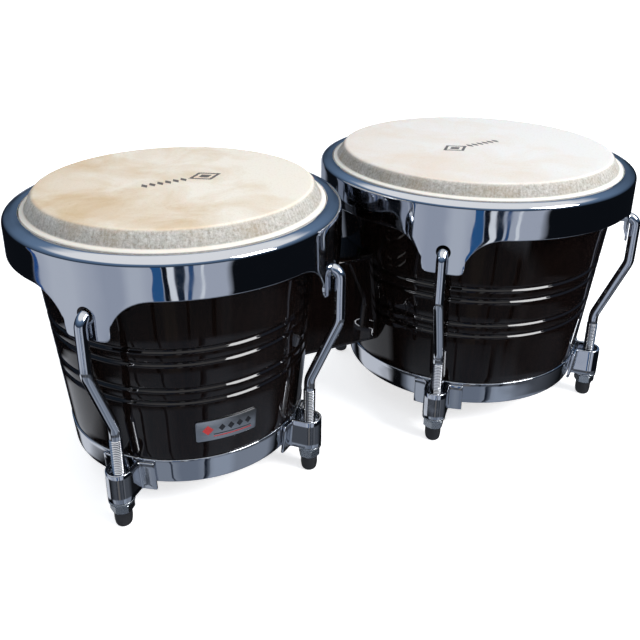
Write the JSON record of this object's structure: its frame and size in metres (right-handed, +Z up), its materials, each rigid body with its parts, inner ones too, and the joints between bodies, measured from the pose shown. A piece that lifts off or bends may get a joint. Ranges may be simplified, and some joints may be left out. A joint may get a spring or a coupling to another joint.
{
  "type": "bongo drums",
  "caption": "Pair of hook-tuned bongo drums in black lacquered wood with hide heads, chromed rims with eared lugs, cranked tuning hooks on rubber feet, and a centre block between them.",
  "frame": {"origin": "middle of the pair's bounding box in X and Y, on the plane the rubber feet stand on", "axes": "+X from the small drum to the large drum, +Y away from the badge and the player-facing front, +Z up through the heads"},
  "size_m": [0.4506, 0.2304, 0.1936],
  "materials": {
    "lacquer": "black high-gloss lacquer over wood",
    "hide": "natural cream hide, dry and lightly mottled",
    "chrome": "bright chrome plate on pressed steel",
    "steel": "plain bent steel bar",
    "zinc": "bright zinc plate",
    "rubber": "matte black moulded rubber",
    "badge": null
  },
  "bodies": {
    "frame": {"macho_shell": "lacquer", "macho_skin": "hide", "macho_bottom_band": "chrome", "macho_bracket_1": "chrome", "macho_washer_1": "zinc", "macho_bracket_2": "chrome", "macho_washer_2": "zinc", "macho_bracket_3": "chrome", "macho_washer_3": "zinc", "macho_bracket_4": "chrome", "macho_washer_4": "zinc", "macho_block_bolt_1": "zinc", "macho_bolt_washer_1": "zinc", "macho_block_bolt_2": "zinc", "macho_bolt_washer_2": "zinc", "hembra_shell": "lacquer", "hembra_skin": "hide", "hembra_bottom_band": "chrome", "hembra_bracket_1": "chrome", "hembra_washer_1": "zinc", "hembra_bracket_2": "chrome", "hembra_washer_2": "zinc", "hembra_bracket_3": "chrome", "hembra_washer_3": "zinc", "hembra_bracket_4": "chrome", "hembra_washer_4": "zinc", "hembra_block_bolt_1": "zinc", "hembra_bolt_washer_1": "zinc", "hembra_block_bolt_2": "zinc", "hembra_bolt_washer_2": "zinc", "centre_block": "lacquer", "badge": "badge"},
    "macho_tension": {"macho_flesh_hoop": "steel", "macho_rim": "chrome", "macho_hook_1": "chrome", "macho_foot_1": "rubber", "macho_hook_2": "chrome", "macho_foot_2": "rubber", "macho_hook_3": "chrome", "macho_foot_3": "rubber", "macho_hook_4": "chrome", "macho_foot_4": "rubber"},
    "macho_nut_1_body": {"macho_nut_1": "zinc"},
    "macho_nut_2_body": {"macho_nut_2": "zinc"},
    "macho_nut_3_body": {"macho_nut_3": "zinc"},
    "macho_nut_4_body": {"macho_nut_4": "zinc"},
    "hembra_tension": {"hembra_flesh_hoop": "steel", "hembra_rim": "chrome", "hembra_hook_1": "chrome", "hembra_foot_1": "rubber", "hembra_hook_2": "chrome", "hembra_foot_2": "rubber", "hembra_hook_3": "chrome", "hembra_foot_3": "rubber", "hembra_hook_4": "chrome", "hembra_foot_4": "rubber"},
    "hembra_nut_1_body": {"hembra_nut_1": "zinc"},
    "hembra_nut_2_body": {"hembra_nut_2": "zinc"},
    "hembra_nut_3_body": {"hembra_nut_3": "zinc"},
    "hembra_nut_4_body": {"hembra_nut_4": "zinc"}
  },
  "joints": [
    {"name": "macho_tuning", "type": "slide", "parent": "frame", "child": "macho_tension", "axis": [0, 0, -1], "range_m": [0, 0.006], "deforming": ["macho_skin"]},
    {"name": "hembra_tuning", "type": "slide", "parent": "frame", "child": "hembra_tension", "axis": [0, 0, -1], "range_m": [0, 0.006], "deforming": ["hembra_skin"]},
    {"name": "macho_nut_1_turn", "type": "hinge", "parent": "frame", "child": "macho_nut_1_body", "pos_m": [-0.05709, 0.06336, 0.0146], "axis": [0, 0, 1], "range_deg": [0, 1728.5]},
    {"name": "macho_nut_2_turn", "type": "hinge", "parent": "frame", "child": "macho_nut_2_body", "pos_m": [-0.18381, 0.06336, 0.0146], "axis": [0, 0, 1], "range_deg": [0, 1728.5]},
    {"name": "macho_nut_3_turn", "type": "hinge", "parent": "frame", "child": "macho_nut_3_body", "pos_m": [-0.18381, -0.06336, 0.0146], "axis": [0, 0, 1], "range_deg": [0, 1728.5]},
    {"name": "macho_nut_4_turn", "type": "hinge", "parent": "frame", "child": "macho_nut_4_body", "pos_m": [-0.05709, -0.06336, 0.0146], "axis": [0, 0, 1], "range_deg": [0, 1728.5]},
    {"name": "hembra_nut_1_turn", "type": "hinge", "parent": "frame", "child": "hembra_nut_1_body", "pos_m": [0.18175, 0.0717, 0.0146], "axis": [0, 0, 1], "range_deg": [0, 1728.5]},
    {"name": "hembra_nut_2_turn", "type": "hinge", "parent": "frame", "child": "hembra_nut_2_body", "pos_m": [0.03835, 0.0717, 0.0146], "axis": [0, 0, 1], "range_deg": [0, 1728.5]},
    {"name": "hembra_nut_3_turn", "type": "hinge", "parent": "frame", "child": "hembra_nut_3_body", "pos_m": [0.03835, -0.0717, 0.0146], "axis": [0, 0, 1], "range_deg": [0, 1728.5]},
    {"name": "hembra_nut_4_turn", "type": "hinge", "parent": "frame", "child": "hembra_nut_4_body", "pos_m": [0.18175, -0.0717, 0.0146], "axis": [0, 0, 1], "range_deg": [0, 1728.5]}
  ],
  "couplings": [
    {"joint": "macho_nut_1_turn", "follows": "macho_tuning", "rad_per_m": 5026.5},
    {"joint": "macho_nut_2_turn", "follows": "macho_tuning", "rad_per_m": 5026.5},
    {"joint": "macho_nut_3_turn", "follows": "macho_tuning", "rad_per_m": 5026.5},
    {"joint": "macho_nut_4_turn", "follows": "macho_tuning", "rad_per_m": 5026.5},
    {"joint": "hembra_nut_1_turn", "follows": "hembra_tuning", "rad_per_m": 5026.5},
    {"joint": "hembra_nut_2_turn", "follows": "hembra_tuning", "rad_per_m": 5026.5},
    {"joint": "hembra_nut_3_turn", "follows": "hembra_tuning", "rad_per_m": 5026.5},
    {"joint": "hembra_nut_4_turn", "follows": "hembra_tuning", "rad_per_m": 5026.5}
  ]
}
